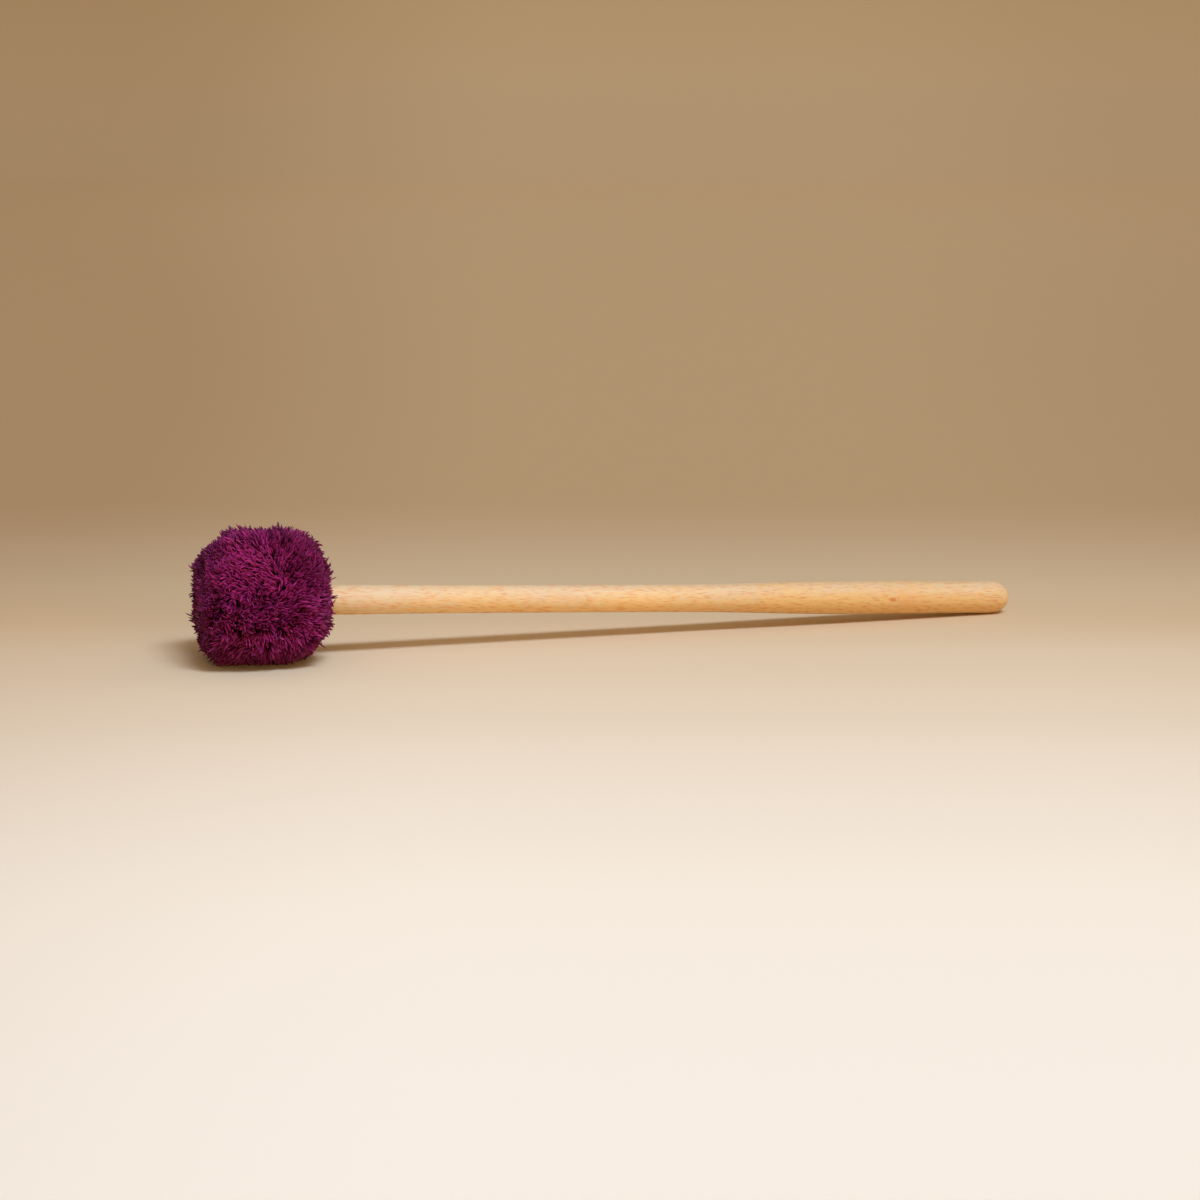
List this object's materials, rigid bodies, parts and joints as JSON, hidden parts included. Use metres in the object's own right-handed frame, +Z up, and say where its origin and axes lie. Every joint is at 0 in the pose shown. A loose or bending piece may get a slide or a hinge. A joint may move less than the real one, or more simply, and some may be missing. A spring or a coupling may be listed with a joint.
{
  "type": "gong mallet",
  "caption": "Gong mallet: a turned beech handle with a slim grip swell and a weighted, felt-padded head in a plush cover, for striking gongs and tam-tams.",
  "frame": {"origin": "middle of the bounding box, on the surface that the mallet lies on", "axes": "+Z up; +X along the mallet, from the head towards the butt of the handle; the axis slopes down to the butt by about 3 degrees, as the mallet rests"},
  "size_m": [0.421, 0.0674, 0.0624],
  "materials": {
    "beech": "satin",
    "plush": "matte",
    "core_wood": "matte",
    "steel": "satin",
    "felt_grey": "matte",
    "felt_white": "matte",
    "thread": "matte",
    "cord": "matte"
  },
  "bodies": {
    "root": {"handle": "beech", "cover_band": "plush", "cover_front": "plush", "cover_neck": "plush", "core": "core_wood", "core_weight": "steel", "core_washer": "steel", "core_screw": "steel", "felt_wrap": "felt_grey", "soft_wrap": "felt_white", "front_pad": "felt_white", "neck_pad": "felt_white", "front_seam_thread": "thread", "neck_seam_thread": "thread", "neck_tie_cord": "cord"}
  },
  "joints": []
}
